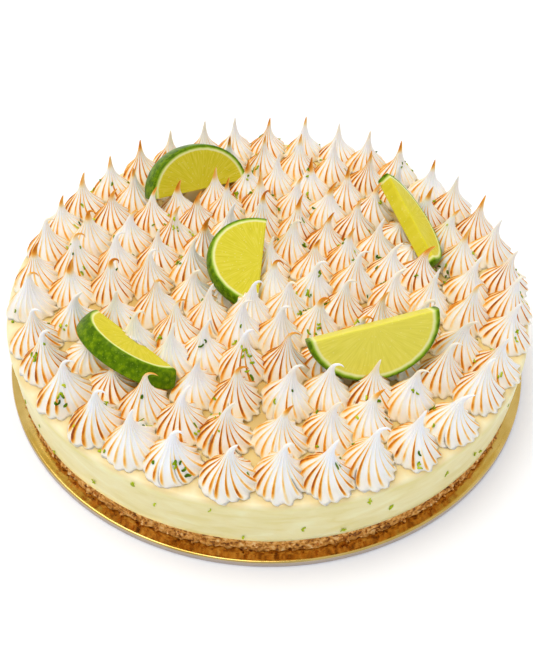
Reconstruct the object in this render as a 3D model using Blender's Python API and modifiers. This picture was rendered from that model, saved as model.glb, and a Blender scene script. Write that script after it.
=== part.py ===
# Round lime cream pie with a crumb base and torched meringue kisses, on its round cake card.
# Metres, +Z up, the origin at the middle of the card's underside, the front towards -Y.
import math
import random

import bmesh
import bpy
from mathutils import Matrix, Vector

# Driving dimensions
GAP = 0.0003
CARD_RADIUS = 0.1234
CARD_THICKNESS = 0.0030
CARD_LIP = 0.0010
BASE_RADIUS = 0.1186
BASE_HEIGHT = 0.0084
BASE_CRAG = 0.0011
FILLING_RADIUS = 0.1200
FILLING_TOP = CARD_THICKNESS + 0.0320
FILLING_ROUND = 0.0022
KISS_RADIUS = 0.0100
KISS_HEIGHT = 0.0215
PATTERN_SHIFT = (0.0010, 0.0012)
KISS_SIZES = (1.00, 1.04)
KISS_HEIGHTS = (0.93, 1.06)
TIP_LEAN = 0.0045
SHORTEST_KISS = 0.18
# Rings of kisses: radius, how many, and the first one's turn from the front in degrees
KISS_RINGS = [
    (0.1088, 36, 1.3),
    (0.0915, 30, 2.4),
    (0.0732, 25, 5.0),
    (0.0555, 20, 6.0),
    (0.0380, 14, 7.0),
    (0.0215, 8, 19.0),
    (0.0080, 2, 6.0),
]
CREST_DEPTH = 0.15
FOOT_DEPTH = 0.04
FOOT_SPREAD = 1.02
FLAT_ANGLE = math.radians(0.5)
# A kiss that meets the foot of a slice stands this far beside it, but moves no further than the most
SIDE_ROOM = 0.0030
MOST_ASIDE = 0.0065
# A kiss that the edge of a slice would flatten below this share of its height stands a step forward
FLATTENED = 0.45
EDGE_STEP = 0.0058
TURN_STEPS = 64
SEED = 13

# Lime half slices: middle of the cut edge, its direction, the way the face looks (the rind lies
# to the left of the cut edge, seen from the face), length of the cut, depth to the rind,
# thickness, and how much narrower the face is than the back
LIME_SLICES = {
    "lime_slice_front_right": ((0.0427, -0.0470, 0.0578), (-0.96, -0.23, -0.14), (0.11, -0.80, 0.58),
                               0.0564, 0.0230, 0.0086, 0.0),
    "lime_slice_middle": ((-0.0037, 0.0012, 0.0463), (0.07, 0.96, 0.27), (0.21, -0.28, 0.94),
                          0.0483, 0.0253, 0.0070, 0.0),
    "lime_slice_front_left": ((-0.0570, -0.0479, 0.0422), (-0.78, 0.62, 0.09), (0.41, 0.39, 0.83),
                              0.0543, 0.0195, 0.0080, 0.0030),
    "lime_slice_back_left": ((-0.0383, 0.0638, 0.0423), (0.84, 0.53, -0.13), (0.53, -0.72, 0.45),
                             0.0556, 0.0230, 0.0107, 0.0),
    "lime_slice_back_right": ((0.0655, 0.0304, 0.0512), (0.33, -0.92, -0.22), (0.62, 0.04, 0.78),
                              0.0575, 0.0170, 0.0072, 0.0),
}
RIND_BULGE = 0.0006
FLECKS_ON_MERINGUE = 26
FLECKS_ON_SIDE = 12


def clear_scene():
    for obj in list(bpy.data.objects):
        bpy.data.objects.remove(obj, do_unlink=True)


def collection(name, hidden=False):
    made = bpy.data.collections.new(name)
    bpy.context.scene.collection.children.link(made)
    made.hide_render = hidden
    return made


def material(name, color, roughness, metallic=0.0):
    mat = bpy.data.materials.new(name)
    mat.use_nodes = True
    shader = mat.node_tree.nodes["Principled BSDF"]
    shader.inputs["Base Color"].default_value = (*color, 1.0)
    shader.inputs["Roughness"].default_value = roughness
    shader.inputs["Metallic"].default_value = metallic
    return mat


def turned(name, profile, steps, group):
    """An outline of (radius, height) points, from top to bottom, turned about the upright axis."""
    mesh = bpy.data.meshes.new(name)
    edges = [(i, i + 1) for i in range(len(profile) - 1)]
    mesh.from_pydata([(r, 0.0, z) for r, z in profile], edges, [])
    obj = bpy.data.objects.new(name, mesh)
    group.objects.link(obj)
    screw = obj.modifiers.new("Turn", "SCREW")
    screw.steps = steps
    screw.render_steps = steps
    screw.use_merge_vertices = True
    screw.merge_threshold = 0.00002
    return obj


def as_mesh(obj):
    """Apply an object's modifiers, so that its points can be shaped or joined."""
    bpy.context.view_layer.update()
    shaped = obj.evaluated_get(bpy.context.evaluated_depsgraph_get())
    mesh = bpy.data.meshes.new_from_object(shaped)
    old = obj.data
    obj.modifiers.clear()
    obj.data = mesh
    bpy.data.meshes.remove(old)
    return obj


def join_or_cut(target, pieces, operation):
    """One Boolean with every object of a collection, which is then removed."""
    step = target.modifiers.new(operation.title(), "BOOLEAN")
    step.operation = operation
    step.operand_type = "COLLECTION"
    step.collection = pieces
    step.solver = "MANIFOLD"
    as_mesh(target)
    for obj in list(pieces.objects):
        bpy.data.objects.remove(obj, do_unlink=True)
    bpy.data.collections.remove(pieces)


def keep_largest_body(obj):
    """Merge faces that lie in one plane, then drop scraps and sealed hollows."""
    bm = bmesh.new()
    bm.from_mesh(obj.data)
    flat = {face for face in bm.faces if abs(face.normal.z) > 0.99999}
    edges = [edge for edge in bm.edges if flat.issuperset(edge.link_faces)]
    bmesh.ops.dissolve_limit(bm, angle_limit=FLAT_ANGLE, verts=[], edges=edges)
    left = set(bm.faces)
    bodies = []
    while left:
        body = []
        reach = [left.pop()]
        while reach:
            face = reach.pop()
            body.append(face)
            for edge in face.edges:
                for other in edge.link_faces:
                    if other in left:
                        left.discard(other)
                        reach.append(other)
        bodies.append(body)
    bodies.sort(key=len)
    for body in bodies[:-1]:
        bmesh.ops.delete(bm, geom=body, context="FACES")
    bm.to_mesh(obj.data)
    bm.free()


def finish(obj, mat, smooth_angle=35.0):
    obj.data.materials.clear()
    obj.data.materials.append(mat)
    obj.data.shade_smooth()
    obj.data.set_sharp_from_angle(angle=math.radians(smooth_angle))


def cake_card(group):
    """A foil-covered round board with a pressed, rounded lip."""
    r = CARD_RADIUS
    t = CARD_THICKNESS
    profile = [
        (0.0, t),
        (r - CARD_LIP, t),
        (r - 0.3 * CARD_LIP, t - 0.3 * CARD_LIP),
        (r, t - CARD_LIP),
        (r, 0.0),
        (0.0, 0.0),
    ]
    obj = turned("cake_card", profile, TURN_STEPS, group)
    finish(obj, material("gold_foil_card", (0.50, 0.27, 0.07), 0.28, 1.0))
    return obj


def crumb_base(group):
    """Pressed biscuit crumb: a disc whose side is broken up into crags."""
    bottom = CARD_THICKNESS + GAP
    r = BASE_RADIUS
    rows = 4
    profile = [(0.0, bottom + BASE_HEIGHT), (r - 0.004, bottom + BASE_HEIGHT)]
    for row in range(rows + 1):
        profile.append((r, bottom + BASE_HEIGHT * (1.0 - row / rows)))
    profile += [(r - 0.004, bottom), (0.0, bottom)]
    obj = as_mesh(turned("crumb_base", profile, TURN_STEPS, group))
    rng = random.Random(SEED)
    for vert in obj.data.vertices:
        out = Vector((vert.co.x, vert.co.y, 0.0))
        if out.length > r - 0.0001:
            push = rng.uniform(-1.0, 1.0) * BASE_CRAG
            vert.co += out.normalized() * push
            level = (vert.co.z - bottom) / BASE_HEIGHT
            if 0.05 < level < 0.95:
                vert.co.z += rng.uniform(-0.25, 0.25) * BASE_HEIGHT / rows
    finish(obj, material("biscuit_crumb", (0.60, 0.32, 0.10), 0.85), 20.0)
    return obj


def small_box(name, size, place, group):
    """A shred of zest: a little bar, turned and placed by a matrix."""
    bm = bmesh.new()
    bmesh.ops.create_cube(bm, size=1.0, matrix=place @ Matrix.Diagonal((*size, 1.0)))
    mesh = bpy.data.meshes.new(name)
    bm.to_mesh(mesh)
    bm.free()
    obj = bpy.data.objects.new(name, mesh)
    group.objects.link(obj)
    return obj


def lime_filling(group):
    """The set cream: a drum with a small rounded rim, and the zest that shows in its side."""
    top = FILLING_TOP
    bottom = CARD_THICKNESS + GAP + BASE_HEIGHT + GAP
    r = FILLING_RADIUS
    k = FILLING_ROUND
    profile = [(0.0, top)]
    for step in range(4):
        turn = math.radians(30.0 * step)
        profile.append((r - k + k * math.sin(turn), top - k + k * math.cos(turn)))
    profile += [(r, (top + bottom) * 0.5), (r - 0.0006, bottom), (0.0, bottom)]
    obj = as_mesh(turned("lime_filling", profile, TURN_STEPS, group))
    rng = random.Random(SEED + 1)
    flecks = collection("side_flecks", True)
    for number in range(FLECKS_ON_SIDE):
        turn = math.tau * (number + rng.uniform(0.2, 0.8)) / FLECKS_ON_SIDE
        height = rng.uniform(bottom + 0.004, top - 0.005)
        size = (0.0007, rng.uniform(0.0010, 0.0022), rng.uniform(0.0008, 0.0012))
        place = (
            Matrix.Rotation(turn, 4, "Z")
            @ Matrix.Translation((r - 0.0001, 0.0, height))
            @ Matrix.Rotation(rng.uniform(0.0, math.pi), 4, "X")
        )
        small_box("side_fleck", size, place, flecks)
    join_or_cut(obj, flecks, "UNION")
    keep_largest_body(obj)
    finish(obj, material("lime_cream", (0.80, 0.74, 0.45), 0.42))
    return obj


def lime_frame(slice_values):
    """Matrix of a half slice: X along the cut edge, Y out to the rind, Z out of its face."""
    middle, chord, face = slice_values[:3]
    z = Vector(face).normalized()
    x = Vector(chord)
    x = (x - z * x.dot(z)).normalized()
    frame = Matrix((x, z.cross(x), z)).transposed().to_4x4()
    frame.translation = Vector(middle)
    return frame


def lime_slice(name, values, group, grow=0.0):
    """Half a round of lime: a barrel-sided disc stretched to an oval and cut across."""
    length, depth, thickness, flare = values[3:]
    r = length * 0.5 + grow
    t = thickness * 0.5 + grow
    edge = 0.0005
    profile = [
        (0.0, t),
        (r - flare - RIND_BULGE - edge, t),
        (r - flare - RIND_BULGE, t - edge),
        (r - flare * 0.5, 0.0),
        (r - RIND_BULGE, edge - t),
        (r - RIND_BULGE - edge, -t),
        (0.0, -t),
    ]
    obj = as_mesh(turned(name, profile, 32, group))
    bm = bmesh.new()
    bm.from_mesh(obj.data)
    bmesh.ops.scale(bm, vec=(1.0, (depth + grow) / r, 1.0), verts=bm.verts)
    cut = bmesh.ops.bisect_plane(
        bm, geom=bm.verts[:] + bm.edges[:] + bm.faces[:], dist=0.000001,
        plane_co=(0.0, -grow, 0.0), plane_no=(0.0, -1.0, 0.0), clear_outer=True)
    rim = [part for part in cut["geom_cut"] if isinstance(part, bmesh.types.BMEdge)]
    bmesh.ops.holes_fill(bm, edges=rim, sides=0)
    bmesh.ops.transform(bm, matrix=lime_frame(values), verts=bm.verts)
    bmesh.ops.recalc_face_normals(bm, faces=bm.faces)
    bm.to_mesh(obj.data)
    bm.free()
    return obj


def lime_slices(group):
    skin = material("lime", (0.30, 0.42, 0.03), 0.38)
    for name, values in LIME_SLICES.items():
        finish(lime_slice(name, values, group), skin, 30.0)


def beside_slices(x, y):
    """Where a kiss stands once the lime slices are in: beside a steep slice, not in it."""
    for values in LIME_SLICES.values():
        frame = lime_frame(values)
        local = frame.inverted() @ Vector((x, y, FILLING_TOP + 0.005))
        oval = math.hypot(local.x / (values[3] * 0.5 + SIDE_ROOM), local.y / (values[4] + SIDE_ROOM))
        room = values[5] * 0.5 + SIDE_ROOM
        flat = Vector((frame[0][2], frame[1][2]))
        if flat.length > 0.45 and abs(local.z) < room and local.y > -SIDE_ROOM and oval < 1.0:
            push = (math.copysign(room, local.z) - local.z) / flat.length
            push = max(-MOST_ASIDE, min(MOST_ASIDE, push))
            x += push * flat.x / flat.length
            y += push * flat.y / flat.length
    return x, y


def before_edge(x, y):
    """Where a kiss stands that the edge of a slice would flatten: a step forward, if it is free there."""
    low = fitted_height(x, y, 1.0) < FLATTENED * KISS_HEIGHT
    if low and fitted_height(x, y - EDGE_STEP, 1.0) == KISS_HEIGHT:
        return x, y - EDGE_STEP
    return x, y


def kiss_places():
    """Middle of every kiss, ring by ring, with its size, lean and turn."""
    rng = random.Random(SEED + 2)
    places = []
    for ring, (radius, count, first) in enumerate(KISS_RINGS):
        for number in range(count):
            turn = math.radians(first + 360.0 * number / count + rng.uniform(-1.2, 1.2))
            reach = radius + rng.uniform(-0.0006, 0.0006)
            x, y = beside_slices(reach * math.sin(turn) + PATTERN_SHIFT[0],
                                 -reach * math.cos(turn) + PATTERN_SHIFT[1])
            x, y = before_edge(x, y)
            size = rng.uniform(*KISS_SIZES)
            height = rng.uniform(*KISS_HEIGHTS)
            curl = max(0.0, min(1.0, (0.075 - y) / 0.06)) * rng.uniform(0.0, 1.0)
            lean = (TIP_LEAN * curl, rng.uniform(-0.0010, 0.0010))
            places.append((x, y, size, height, lean, rng.uniform(0.0, math.tau), ring))
    return places


def depth_in_slice(point, values):
    """How far a point lies inside a lime half slice, negative when it is outside."""
    length, depth, thickness = values[3:6]
    local = lime_frame(values).inverted() @ point
    oval = math.hypot(local.x / (length * 0.5), local.y / depth)
    return min(local.y, thickness * 0.5 - abs(local.z), (1.0 - oval) * depth)


def fitted_height(x, y, height):
    """A kiss stops short of a lime slice that lies over it, or is left out."""
    steps = 24
    for step in range(steps + 1):
        point = Vector((x, y, FILLING_TOP + KISS_HEIGHT * height * step / steps))
        if any(depth_in_slice(point, values) > -0.0008 for values in LIME_SLICES.values()):
            return KISS_HEIGHT * height * step / steps
    return KISS_HEIGHT * height


def kiss(values, pattern, group):
    """One star-piped kiss: crests round a cone that draws out to a thin, leaning tip."""
    x, y, size, height, lean, turn, ring = values
    obj = bpy.data.objects.new("kiss", pattern.copy())
    group.objects.link(obj)
    reach = fitted_height(x, y, height)
    steps = 10 if ring == 0 else 8
    for vert in obj.data.vertices:
        out = math.hypot(vert.co.x, vert.co.y)
        level = vert.co.z / KISS_HEIGHT
        around = math.atan2(vert.co.y, vert.co.x)
        crest = round(around * steps / math.tau) % 2
        depth = CREST_DEPTH if level > 0.05 else FOOT_DEPTH
        radius = out * size * (1.0 - depth * crest)
        angle = around + turn + 0.3 * level
        bend = level * level
        vert.co.x = x + radius * math.cos(angle) + lean[0] * bend
        vert.co.y = y + radius * math.sin(angle) + lean[1] * bend
        vert.co.z = FILLING_TOP + GAP + level * reach
    return obj


def kiss_pattern(steps, group):
    profile = [
        (0.0, KISS_HEIGHT),
        (0.30 * KISS_RADIUS, 0.60 * KISS_HEIGHT),
        (0.93 * KISS_RADIUS, 0.19 * KISS_HEIGHT),
        (FOOT_SPREAD * KISS_RADIUS, 0.0),
        (0.0, 0.0),
    ]
    obj = as_mesh(turned("kiss_pattern", profile, steps, group))
    mesh = obj.data
    bpy.data.objects.remove(obj, do_unlink=True)
    return mesh


def meringue(group):
    """All the kisses, which touch at the foot, with zest on them, fitted round the lime slices."""
    kisses = collection("kisses", True)
    patterns = {steps: kiss_pattern(steps, kisses) for steps in (8, 10)}
    rng = random.Random(SEED + 3)
    places = [p for p in kiss_places() if fitted_height(p[0], p[1], p[3]) > SHORTEST_KISS * KISS_HEIGHT]
    made = []
    for values in places:
        steps = 10 if values[6] == 0 else 8
        made.append(kiss(values, patterns[steps], kisses))
    body = made[0]
    kisses.objects.unlink(body)
    group.objects.link(body)
    body.name = "meringue"
    for number in range(FLECKS_ON_MERINGUE):
        x, y, size, height, lean, turn, ring = places[int(number * len(places) / FLECKS_ON_MERINGUE)]
        around = rng.uniform(0.0, math.tau)
        level = rng.uniform(0.25, 0.45)
        out = KISS_RADIUS * (1.05 - 1.25 * level)
        place = (
            Matrix.Translation((x, y, FILLING_TOP + GAP + level * KISS_HEIGHT))
            @ Matrix.Rotation(around, 4, "Z")
            @ Matrix.Translation((out, 0.0, 0.0))
            @ Matrix.Rotation(math.radians(55.0), 4, "Y")
            @ Matrix.Rotation(rng.uniform(0.0, math.pi), 4, "Z")
        )
        small_box("fleck", (rng.uniform(0.002, 0.0035), 0.0010, 0.0012), place, kisses)
    join_or_cut(body, kisses, "UNION")
    cutters = collection("lime_cutters", True)
    for name, values in LIME_SLICES.items():
        cutter = lime_slice(name + "_cutter", values, cutters, grow=GAP + 0.0001)
        cutter.hide_render = True
        cutter.display_type = "WIRE"
    join_or_cut(body, cutters, "DIFFERENCE")
    keep_largest_body(body)
    finish(body, material("torched_meringue", (0.88, 0.74, 0.55), 0.55))
    return body


def main():
    clear_scene()
    group = collection("lime_meringue_pie")
    cake_card(group)
    crumb_base(group)
    lime_filling(group)
    lime_slices(group)
    meringue(group)


main()
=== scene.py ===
import math
import random

import bmesh
import bpy
import numpy as np
from mathutils import Matrix, Vector, noise
from mathutils.bvhtree import BVHTree


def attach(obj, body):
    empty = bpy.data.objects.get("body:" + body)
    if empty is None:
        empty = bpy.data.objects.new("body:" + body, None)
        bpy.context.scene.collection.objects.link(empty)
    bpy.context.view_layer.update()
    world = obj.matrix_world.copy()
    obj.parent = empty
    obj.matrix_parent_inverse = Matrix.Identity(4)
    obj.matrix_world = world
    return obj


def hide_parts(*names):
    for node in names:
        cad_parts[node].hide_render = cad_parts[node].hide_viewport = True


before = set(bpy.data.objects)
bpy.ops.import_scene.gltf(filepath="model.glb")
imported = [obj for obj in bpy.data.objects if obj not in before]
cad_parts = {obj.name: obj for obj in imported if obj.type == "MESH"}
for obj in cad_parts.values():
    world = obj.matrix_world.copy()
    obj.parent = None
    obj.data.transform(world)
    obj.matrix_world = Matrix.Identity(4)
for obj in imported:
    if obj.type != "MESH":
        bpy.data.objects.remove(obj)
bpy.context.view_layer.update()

mm = 0.001
fillingTop = 0.035      # where the kisses stand


# small tools

def toLinear(hexCode):
    channels = [int(hexCode[i:i + 2], 16) / 255.0 for i in (0, 2, 4)]
    linear = [c / 12.92 if c <= 0.04045 else ((c + 0.055) / 1.055) ** 2.4 for c in channels]
    return (*linear, 1.0)


def addNode(tree, kind, inputs=None, **settings):
    node = tree.nodes.new(kind)
    for name, value in settings.items():
        setattr(node, name, value)
    for socket, value in (inputs or {}).items():
        if isinstance(value, bpy.types.NodeSocket):
            tree.links.new(value, node.inputs[socket])
        else:
            node.inputs[socket].default_value = value
    return node


def newMaterial(name):
    material = bpy.data.materials.new(name)
    material.use_nodes = True
    tree = material.node_tree
    return material, tree, tree.nodes["Principled BSDF"]


def setRamp(ramp, stops):
    elements = ramp.color_ramp.elements
    while len(elements) > 1:
        elements.remove(elements[-1])
    elements[0].position = stops[0][0]
    elements[0].color = toLinear(stops[0][1])
    for position, hexCode in stops[1:]:
        elements.new(position).color = toLinear(hexCode)


def fromMiddle(tree, place):
    # how far a point is from the upright axis through the pie's middle
    flat = addNode(tree, "ShaderNodeVectorMath", {0: place, 1: (1.0, 1.0, 0.0)}, operation="MULTIPLY")
    return addNode(tree, "ShaderNodeVectorMath", {0: flat.outputs[0]}, operation="LENGTH").outputs["Value"]


def meshObject(name, bm, material, smooth=True):
    mesh = bpy.data.meshes.new(name)
    bm.to_mesh(mesh)
    bm.free()
    mesh.materials.append(material)
    if smooth:
        mesh.shade_smooth()
    piece = bpy.data.objects.new(name, mesh)
    bpy.context.scene.collection.objects.link(piece)
    return piece


def onTheFrame(piece, slotName, *nodes):
    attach(piece, "root")
    if nodes:
        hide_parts(*nodes)


def smoothStep(low, high, value):
    share = np.clip((value - low) / (high - low), 0.0, 1.0)
    return share * share * (3.0 - 2.0 * share)


def turnProfile(points, steps):
    # an outline of (radius, height) points turned a full round about the upright axis
    bm = bmesh.new()
    row = [bm.verts.new((r, 0.0, z)) for r, z in points]
    edges = [bm.edges.new(pair) for pair in zip(row[:-1], row[1:])]
    bmesh.ops.spin(bm, geom=row + edges, cent=(0, 0, 0), axis=(0, 0, 1), angle=math.tau,
                   steps=steps, use_merge=True)
    bmesh.ops.remove_doubles(bm, verts=bm.verts, dist=0.00001)
    bmesh.ops.recalc_face_normals(bm, faces=bm.faces)
    return bm


# lime half slices; the rind is to the left of the cut edge, seen from the face

limeValues = {
    # middle and direction of the cut edge, way that the face looks, sizes, how much smaller the face's
    # radius is than the back's, and how much painted light lightens the pulp
    "lime_slice_front_right": dict(middle=(0.0427, -0.0470, 0.0578), chord=(-0.96, -0.23, -0.14),
                                   face=(0.11, -0.80, 0.58), length=0.0564, depth=0.0230, thick=0.0086,
                                   flare=0.0, pale=0.28),
    "lime_slice_middle": dict(middle=(-0.0037, 0.0012, 0.0463), chord=(0.07, 0.96, 0.27),
                              face=(0.21, -0.28, 0.94), length=0.0483, depth=0.0253, thick=0.0070,
                              flare=0.0, pale=0.05),
    "lime_slice_front_left": dict(middle=(-0.0570, -0.0479, 0.0422), chord=(-0.78, 0.62, 0.09),
                                  face=(0.41, 0.39, 0.83), length=0.0543, depth=0.0195, thick=0.0080,
                                  flare=0.0030, pale=0.0),
    "lime_slice_back_left": dict(middle=(-0.0383, 0.0638, 0.0423), chord=(0.84, 0.53, -0.13),
                                 face=(0.53, -0.72, 0.45), length=0.0556, depth=0.0230, thick=0.0107,
                                 flare=0.0, pale=0.0),
    "lime_slice_back_right": dict(middle=(0.0655, 0.0304, 0.0512), chord=(0.33, -0.92, -0.22),
                                  face=(0.62, 0.04, 0.78), length=0.0575, depth=0.0170, thick=0.0072,
                                  flare=0.0, pale=0.0),
}
limeCut = {"bulge": 0.0006, "rindEdge": 0.0005, "knifeEdge": 0.0007}    # how round the edges are


def limeMatrix(lime):
    z = Vector(lime["face"]).normalized()
    x = Vector(lime["chord"])
    x = (x - z * x.dot(z)).normalized()
    matrix = Matrix((x, z.cross(x), z)).transposed().to_4x4()
    matrix.translation = Vector(lime["middle"])
    return matrix


limeFrames = {name: limeMatrix(lime) for name, lime in limeValues.items()}


# meringue kisses

kissValues = {
    "radius": 0.0111, "height": 0.0215, "tipExtra": 0.0022, "patternShift": (0.0010, 0.0012),
    "sizes": (1.00, 1.04), "heights": (0.93, 1.06), "placeSeed": 15, "mannerSeed": 53,
    "limeGap": 0.0008,       # under a slice that lies over a kiss
    "shortest": 0.18,        # of the height: below this a slice leaves no room for a kiss
    "steep": 0.45,           # a slice is steep if its face looks this much sideways
    "sideRoom": 0.0030,      # between a kiss's middle and a steep slice that it stands beside
    "mostAside": 0.0065,     # and the furthest that a kiss moves for it
    "flattened": 0.45,       # of the height: a kiss lower than this under a slice's edge
    "edgeStep": 0.0058,      # stands this much nearer the front
    "crests": 15,            # teeth of the star nozzle
    "fluteDepth": 0.22,      # of the radius, from crest to valley
    "sidesPerCrest": 6,
    "twist": (-0.85, -0.45),                 # radians from foot to tip, most of it near the foot
    "hookFrom": 0.45, "hookShare": 0.75, "hookLength": 1.14,    # hooked tips, of the curlier kisses
}
torchValues = {
    "burn": (1.24, 0.38), "burnLimits": (0.35, 1.60),     # how brown a kiss is: usual, spread, limits
    "crestBurn": (0.35, 1.20),                            # and each of its crests
    "lineFrom": (0.02, 0.09), "lineTo": (0.45, 0.75),     # levels between which the crests are browned
    "neckWhite": (0.75, 1.0),                             # how much of the browning ends at the neck
    "way": math.pi, "waySpread": 0.5,                     # the flame comes from the left, in radians
    "shade": (0.25, 0.80),                                # share left on the side away from the torch
    "brownTips": (0.38, 0.85), "backTips": 0.70, "frontTips": 0.30,   # how brown, and how many
    "tipFrom": (0.55, 0.72),                              # level from which a tip is browned
    "burntToTip": 0.4,                                    # of the brown tips, browned all the way up
}
# rings of kisses: radius, how many, first one's turn from the front in degrees
kissRings = [(0.1088, 36, 1.3), (0.0915, 30, 2.4), (0.0732, 25, 5.0), (0.0555, 20, 6.0),
             (0.0380, 14, 7.0), (0.0215, 8, 19.0), (0.0080, 2, 6.0)]
# a kiss's outline: share of its length, share of its radius
kissOutline = [(0.0, 1.01), (0.03, 1.01), (0.07, 1.0), (0.12, 0.955), (0.18, 0.86), (0.24, 0.745),
               (0.31, 0.605), (0.375, 0.475), (0.44, 0.365), (0.50, 0.285), (0.57, 0.215),
               (0.64, 0.165), (0.72, 0.125), (0.80, 0.095), (0.88, 0.068), (0.95, 0.045), (1.0, 0.0)]
kissLevels = [0.0, 0.025, 0.055, 0.09, 0.13, 0.175, 0.22, 0.27, 0.32, 0.375, 0.43, 0.49, 0.55, 0.62,
              0.69, 0.75, 0.80, 0.84, 0.88, 0.92, 0.96, 1.0]


def besideLimes(x, y):
    # where a kiss stands once the slices are in
    room = kissValues["sideRoom"]
    for name, lime in limeValues.items():
        local = limeFrames[name].inverted() @ Vector((x, y, fillingTop + 0.005))
        oval = math.hypot(local.x / (lime["length"] * 0.5 + room), local.y / (lime["depth"] + room))
        half = lime["thick"] * 0.5 + room
        flat = Vector((limeFrames[name][0][2], limeFrames[name][1][2]))
        beside = abs(local.z) < half and local.y > -room and oval < 1.0
        if flat.length > kissValues["steep"] and beside:
            push = (math.copysign(half, local.z) - local.z) / flat.length
            push = max(-kissValues["mostAside"], min(kissValues["mostAside"], push))
            x += push * flat.x / flat.length
            y += push * flat.y / flat.length
    return x, y


def beforeEdge(x, y):
    # a kiss that the edge of a slice would flatten stands a step forward, if it is free there
    full = kissValues["height"]
    low = fittedHeight(x, y, 1.0) < kissValues["flattened"] * full
    if low and fittedHeight(x, y - kissValues["edgeStep"], 1.0) == full:
        return x, y - kissValues["edgeStep"]
    return x, y


def kissPlaces():
    rng = random.Random(kissValues["placeSeed"])
    places = []
    for ring, (radius, count, first) in enumerate(kissRings):
        for number in range(count):
            turn = math.radians(first + 360.0 * number / count + rng.uniform(-1.2, 1.2))
            reach = radius + rng.uniform(-0.0006, 0.0006)
            x, y = besideLimes(reach * math.sin(turn) + kissValues["patternShift"][0],
                               -reach * math.cos(turn) + kissValues["patternShift"][1])
            x, y = beforeEdge(x, y)
            size = rng.uniform(*kissValues["sizes"])
            height = rng.uniform(*kissValues["heights"])
            curl = max(0.0, min(1.0, (0.075 - y) / 0.06)) * rng.uniform(0.0, 1.0)
            rng.random()      # a spare draw, which keeps the order of the rest
            places.append(dict(x=x, y=y, size=size, height=height, curl=curl,
                               turn=rng.uniform(0.0, math.tau), ring=ring))
    return places


def depthInLime(point, name):
    lime = limeValues[name]
    local = limeFrames[name].inverted() @ point
    oval = math.hypot(local.x / (lime["length"] * 0.5), local.y / lime["depth"])
    return min(local.y, lime["thick"] * 0.5 - abs(local.z), (1.0 - oval) * lime["depth"])


def fittedHeight(x, y, height):
    # a kiss stops short of a slice that lies over it
    full = kissValues["height"] * height
    steps = 24
    for step in range(steps + 1):
        point = Vector((x, y, fillingTop + full * step / steps))
        if any(depthInLime(point, name) > -kissValues["limeGap"] for name in limeValues):
            return full * step / steps
    return full


def kissTemplate():
    # rings of points from foot to tip; the tip ring closes to a point
    sides = kissValues["crests"] * kissValues["sidesPerCrest"]
    bm = bmesh.new()
    made = bmesh.ops.create_circle(bm, cap_ends=True, radius=1.0, segments=sides)
    order = sorted(made["verts"], key=lambda v: math.atan2(v.co.y, v.co.x) % math.tau)
    rings = [order]
    for level in kissLevels[1:]:
        edges = [bm.edges.get((a, b)) for a, b in zip(rings[-1], rings[-1][1:] + rings[-1][:1])]
        grown = bmesh.ops.extrude_edge_only(bm, edges=edges)["geom"]
        fresh = [part for part in grown if isinstance(part, bmesh.types.BMVert)]
        for vert in fresh:
            vert.co.z = level
        rings.append(sorted(fresh, key=lambda v: math.atan2(v.co.y, v.co.x) % math.tau))
    bmesh.ops.pointmerge(bm, verts=rings[-1], merge_co=(0.0, 0.0, 1.0))
    bmesh.ops.recalc_face_normals(bm, faces=bm.faces)
    mesh = bpy.data.meshes.new("kissTemplate")
    bm.to_mesh(mesh)
    bm.free()
    co = np.zeros(len(mesh.vertices) * 3)
    mesh.vertices.foreach_get("co", co)
    return mesh, co.reshape(-1, 3)


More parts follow.
